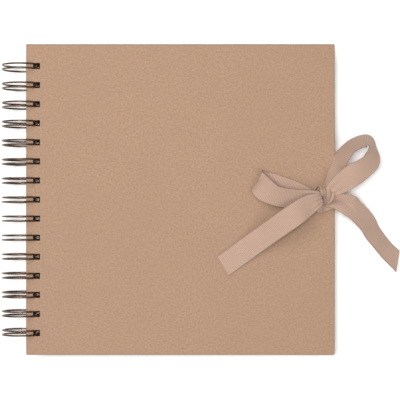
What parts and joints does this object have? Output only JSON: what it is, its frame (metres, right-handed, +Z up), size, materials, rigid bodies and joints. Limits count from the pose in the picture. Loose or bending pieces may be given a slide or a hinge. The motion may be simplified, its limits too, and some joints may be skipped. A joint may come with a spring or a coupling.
{
  "type": "scrapbook album",
  "caption": "Square hardcover scrapbook album in kraft paper, double-loop wire bound down one side and tied at the fore edge with a ribbon bow.",
  "frame": {"origin": "the point on the table under the middle of the closed album's bounding box, bow tail included", "axes": "+Z up from the table, through the front cover; +X from the wire spine to the fore edge; +Y along the spine, towards the top of the pages"},
  "size_m": [0.272, 0.207, 0.0314],
  "materials": {
    "kraft_cover": "uncoated brown kraft paper, faintly flecked",
    "kraft_lining": "uncoated brown kraft paper",
    "kraft_leaf": "uncoated kraft card",
    "grey_board": "bookbinder's grey board",
    "bronze_wire": "antique bronze coating, satin",
    "rose_ribbon": "dusty rose grosgrain, matt, fine cross ribs"
  },
  "bodies": {
    "root": {"back_cover_kraft_wrap": "kraft_cover", "back_cover_board": "grey_board", "back_cover_lining": "kraft_lining", "binding_wire": "bronze_wire", "back_ribbon_strap": "rose_ribbon"},
    "leaf_20": {"leaf_20": "kraft_leaf"},
    "leaf_19": {"leaf_19": "kraft_leaf"},
    "leaf_18": {"leaf_18": "kraft_leaf"},
    "leaf_17": {"leaf_17": "kraft_leaf"},
    "leaf_16": {"leaf_16": "kraft_leaf"},
    "leaf_15": {"leaf_15": "kraft_leaf"},
    "leaf_14": {"leaf_14": "kraft_leaf"},
    "leaf_13": {"leaf_13": "kraft_leaf"},
    "leaf_12": {"leaf_12": "kraft_leaf"},
    "leaf_11": {"leaf_11": "kraft_leaf"},
    "leaf_10": {"leaf_10": "kraft_leaf"},
    "leaf_09": {"leaf_09": "kraft_leaf"},
    "leaf_08": {"leaf_08": "kraft_leaf"},
    "leaf_07": {"leaf_07": "kraft_leaf"},
    "leaf_06": {"leaf_06": "kraft_leaf"},
    "leaf_05": {"leaf_05": "kraft_leaf"},
    "leaf_04": {"leaf_04": "kraft_leaf"},
    "leaf_03": {"leaf_03": "kraft_leaf"},
    "leaf_02": {"leaf_02": "kraft_leaf"},
    "leaf_01": {"leaf_01": "kraft_leaf"},
    "front_cover": {"front_cover_kraft_wrap": "kraft_cover", "front_cover_board": "grey_board", "front_cover_lining": "kraft_lining", "front_ribbon_strap": "rose_ribbon", "back_ribbon_end": "rose_ribbon", "bow_knot": "rose_ribbon", "bow_loop_left": "rose_ribbon", "bow_loop_right": "rose_ribbon", "bow_tail_left": "rose_ribbon", "bow_tail_right": "rose_ribbon"}
  },
  "joints": [
    {"name": "turn_leaf_20", "type": "hinge", "parent": "root", "child": "leaf_20", "pos_m": [-0.12288, 0, 0.0133], "axis": [0, -1, 0], "range_deg": [0, 180]},
    {"name": "turn_leaf_19", "type": "hinge", "parent": "leaf_20", "child": "leaf_19", "pos_m": [-0.12288, 0, 0.0133], "axis": [0, -1, 0], "range_deg": [0, 180]},
    {"name": "turn_leaf_18", "type": "hinge", "parent": "leaf_19", "child": "leaf_18", "pos_m": [-0.12288, 0, 0.0133], "axis": [0, -1, 0], "range_deg": [0, 180]},
    {"name": "turn_leaf_17", "type": "hinge", "parent": "leaf_18", "child": "leaf_17", "pos_m": [-0.12288, 0, 0.0133], "axis": [0, -1, 0], "range_deg": [0, 180]},
    {"name": "turn_leaf_16", "type": "hinge", "parent": "leaf_17", "child": "leaf_16", "pos_m": [-0.12288, 0, 0.0133], "axis": [0, -1, 0], "range_deg": [0, 180]},
    {"name": "turn_leaf_15", "type": "hinge", "parent": "leaf_16", "child": "leaf_15", "pos_m": [-0.12288, 0, 0.0133], "axis": [0, -1, 0], "range_deg": [0, 180]},
    {"name": "turn_leaf_14", "type": "hinge", "parent": "leaf_15", "child": "leaf_14", "pos_m": [-0.12288, 0, 0.0133], "axis": [0, -1, 0], "range_deg": [0, 180]},
    {"name": "turn_leaf_13", "type": "hinge", "parent": "leaf_14", "child": "leaf_13", "pos_m": [-0.12288, 0, 0.0133], "axis": [0, -1, 0], "range_deg": [0, 180]},
    {"name": "turn_leaf_12", "type": "hinge", "parent": "leaf_13", "child": "leaf_12", "pos_m": [-0.12288, 0, 0.0133], "axis": [0, -1, 0], "range_deg": [0, 180]},
    {"name": "turn_leaf_11", "type": "hinge", "parent": "leaf_12", "child": "leaf_11", "pos_m": [-0.12288, 0, 0.0133], "axis": [0, -1, 0], "range_deg": [0, 180]},
    {"name": "turn_leaf_10", "type": "hinge", "parent": "leaf_11", "child": "leaf_10", "pos_m": [-0.12288, 0, 0.0133], "axis": [0, -1, 0], "range_deg": [0, 180]},
    {"name": "turn_leaf_09", "type": "hinge", "parent": "leaf_10", "child": "leaf_09", "pos_m": [-0.12288, 0, 0.0133], "axis": [0, -1, 0], "range_deg": [0, 180]},
    {"name": "turn_leaf_08", "type": "hinge", "parent": "leaf_09", "child": "leaf_08", "pos_m": [-0.12288, 0, 0.0133], "axis": [0, -1, 0], "range_deg": [0, 180]},
    {"name": "turn_leaf_07", "type": "hinge", "parent": "leaf_08", "child": "leaf_07", "pos_m": [-0.12288, 0, 0.0133], "axis": [0, -1, 0], "range_deg": [0, 180]},
    {"name": "turn_leaf_06", "type": "hinge", "parent": "leaf_07", "child": "leaf_06", "pos_m": [-0.12288, 0, 0.0133], "axis": [0, -1, 0], "range_deg": [0, 180]},
    {"name": "turn_leaf_05", "type": "hinge", "parent": "leaf_06", "child": "leaf_05", "pos_m": [-0.12288, 0, 0.0133], "axis": [0, -1, 0], "range_deg": [0, 180]},
    {"name": "turn_leaf_04", "type": "hinge", "parent": "leaf_05", "child": "leaf_04", "pos_m": [-0.12288, 0, 0.0133], "axis": [0, -1, 0], "range_deg": [0, 180]},
    {"name": "turn_leaf_03", "type": "hinge", "parent": "leaf_04", "child": "leaf_03", "pos_m": [-0.12288, 0, 0.0133], "axis": [0, -1, 0], "range_deg": [0, 180]},
    {"name": "turn_leaf_02", "type": "hinge", "parent": "leaf_03", "child": "leaf_02", "pos_m": [-0.12288, 0, 0.0133], "axis": [0, -1, 0], "range_deg": [0, 180]},
    {"name": "turn_leaf_01", "type": "hinge", "parent": "leaf_02", "child": "leaf_01", "pos_m": [-0.12288, 0, 0.0133], "axis": [0, -1, 0], "range_deg": [0, 180]},
    {"name": "open_front_cover", "type": "hinge", "parent": "leaf_01", "child": "front_cover", "pos_m": [-0.12288, 0, 0.0133], "axis": [0, -1, 0], "range_deg": [0, 180]}
  ]
}
